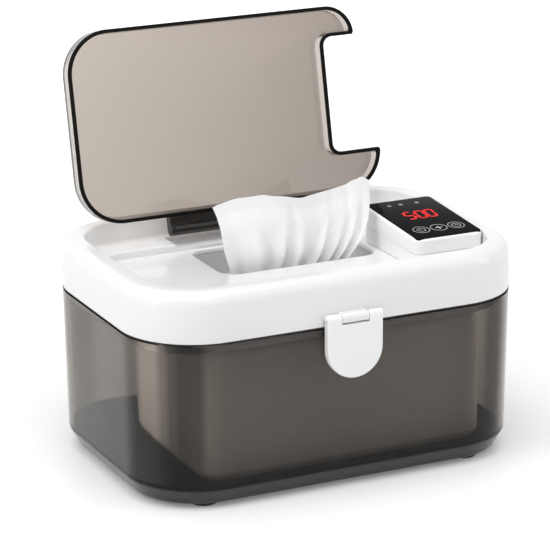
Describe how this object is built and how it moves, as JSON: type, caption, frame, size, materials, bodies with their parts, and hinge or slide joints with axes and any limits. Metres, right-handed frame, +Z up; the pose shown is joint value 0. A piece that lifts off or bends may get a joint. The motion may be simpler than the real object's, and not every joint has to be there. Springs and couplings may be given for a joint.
{
  "type": "baby wipe warmer",
  "caption": "Heated wipe dispenser: smoked clear tub, white cover with dispensing opening and touch display, hinged clear lid, front latch.",
  "frame": {"origin": "on the floor under the middle of the box that holds the whole part", "axes": "+X to the right seen from the front, +Y to the rear hinge, +Z up"},
  "size_m": [0.22, 0.165, 0.2213],
  "materials": {
    "smoked_tub": "clear smoked brown-grey moulding with polished faces",
    "smoked_lid": "clear smoked grey-beige moulding with polished faces",
    "white_plastic": "satin-gloss white moulding",
    "white_inner": "plain white moulding",
    "rubber_foot": "matt black rubber",
    "black_seal": "soft black seal",
    "steel_pin": "drawn steel wire",
    "screw_steel": "zinc-plated screw",
    "heater_aluminium": "mill-finish sheet",
    "heater_film": "amber heating film",
    "circuit_board": "green circuit board",
    "dark_component": "black component moulding",
    "black_glass": "glossy black printed panel",
    "red_display": "red segment display",
    "wipe_cloth": "moist white nonwoven"
  },
  "bodies": {
    "tub": {"tub_shell": "smoked_tub", "foot_front_left": "rubber_foot", "foot_front_right": "rubber_foot", "foot_rear_left": "rubber_foot", "foot_rear_right": "rubber_foot", "rear_hinge_pin_left": "steel_pin", "rear_hinge_pin_right": "steel_pin", "seam_gasket": "black_seal", "wipe_stack": "wipe_cloth"},
    "cover": {"cover_shell": "white_plastic", "lid_hinge_pin": "steel_pin", "latch_pin": "steel_pin", "dispensing_throat": "white_inner", "cover_liner": "white_inner", "liner_screw_1": "screw_steel", "liner_screw_2": "screw_steel", "liner_screw_3": "screw_steel", "liner_screw_4": "screw_steel", "liner_screw_5": "screw_steel", "liner_screw_6": "screw_steel", "heating_plate": "heater_aluminium", "heating_film": "heater_film", "thermistor": "dark_component", "thermal_cutout": "dark_component", "power_board": "circuit_board", "power_inlet": "dark_component", "control_housing": "white_plastic", "control_glass": "black_glass", "display_board": "circuit_board", "digit_display": "red_display", "touch_pad_1": "dark_component", "touch_pad_2": "dark_component", "touch_pad_3": "dark_component", "popup_wipe": "wipe_cloth"},
    "lid": {"clear_lid": "smoked_lid"},
    "latch": {"latch_flap": "white_plastic"}
  },
  "joints": [
    {"name": "cover_hinge", "type": "hinge", "parent": "tub", "child": "cover", "pos_m": [0, 0.0799, 0.0894], "axis": [-1, 0, 0], "range_deg": [0, 95]},
    {"name": "lid_hinge", "type": "hinge", "parent": "cover", "child": "lid", "pos_m": [0, 0.0506, 0.1115], "axis": [1, 0, 0], "range_deg": [0, 102.3], "deforming": ["popup_wipe"]},
    {"name": "latch_hinge", "type": "hinge", "parent": "cover", "child": "latch", "pos_m": [0, -0.0799, 0.0943], "axis": [-1, 0, 0], "range_deg": [0, 95]}
  ]
}
